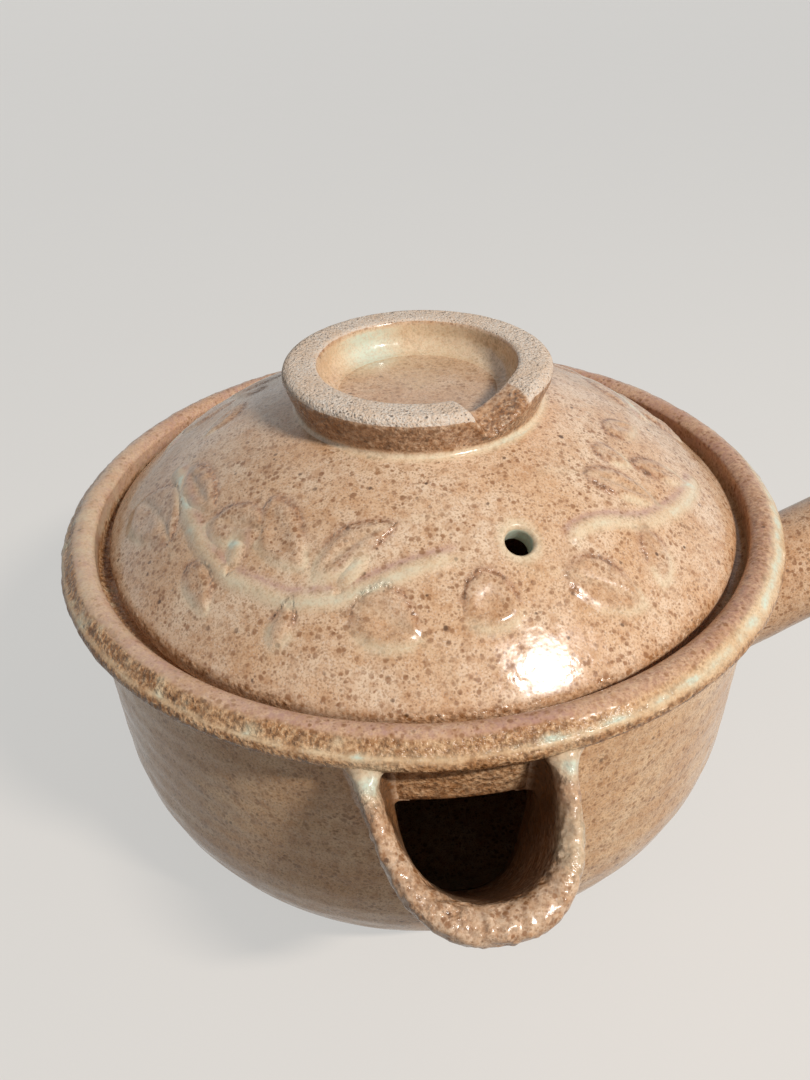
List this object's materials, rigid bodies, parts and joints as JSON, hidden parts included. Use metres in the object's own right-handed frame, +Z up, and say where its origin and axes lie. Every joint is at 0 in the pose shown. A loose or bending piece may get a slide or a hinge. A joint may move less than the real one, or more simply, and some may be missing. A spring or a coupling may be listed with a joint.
{
  "type": "lidded clay pot",
  "caption": "Glazed stoneware cooking pot with a pouring spout, a hollow side handle and a loose domed lid with a notched ring knob and a raised leafy vine.",
  "frame": {"origin": "centre of the flat base, on the surface that the pot stands on", "axes": "+Z up along the axis of the pot, -Y towards the spout, +X towards the handle"},
  "size_m": [0.2732, 0.2272, 0.1465],
  "materials": {
    "bowl_glaze": "glossy speckled buff glaze, dark where it breaks over the rim and pale where it pools",
    "spout_glaze": "glossy speckled glaze, brown on the lip",
    "handle_glaze": "glossy speckled buff glaze",
    "lid_glaze": "glossy speckled pink-buff glaze",
    "knob_clay": "bare sandy clay on the top face, brown glaze on the sides",
    "vine_glaze": "glossy glaze, pale along the edges of the relief",
    "leaf_glaze": "glossy glaze, brown where it breaks over the leaves"
  },
  "bodies": {
    "pot": {"pot_bowl": "bowl_glaze", "spout": "spout_glaze", "handle": "handle_glaze"},
    "lid": {"lid_dome": "lid_glaze", "lid_knob": "knob_clay", "lid_vine": "vine_glaze", "lid_leaves": "leaf_glaze"}
  },
  "joints": [
    {"name": "lid_lift", "type": "slide", "parent": "pot", "child": "lid", "axis": [0, 0, 1], "range_m": [0, 0.12]}
  ]
}
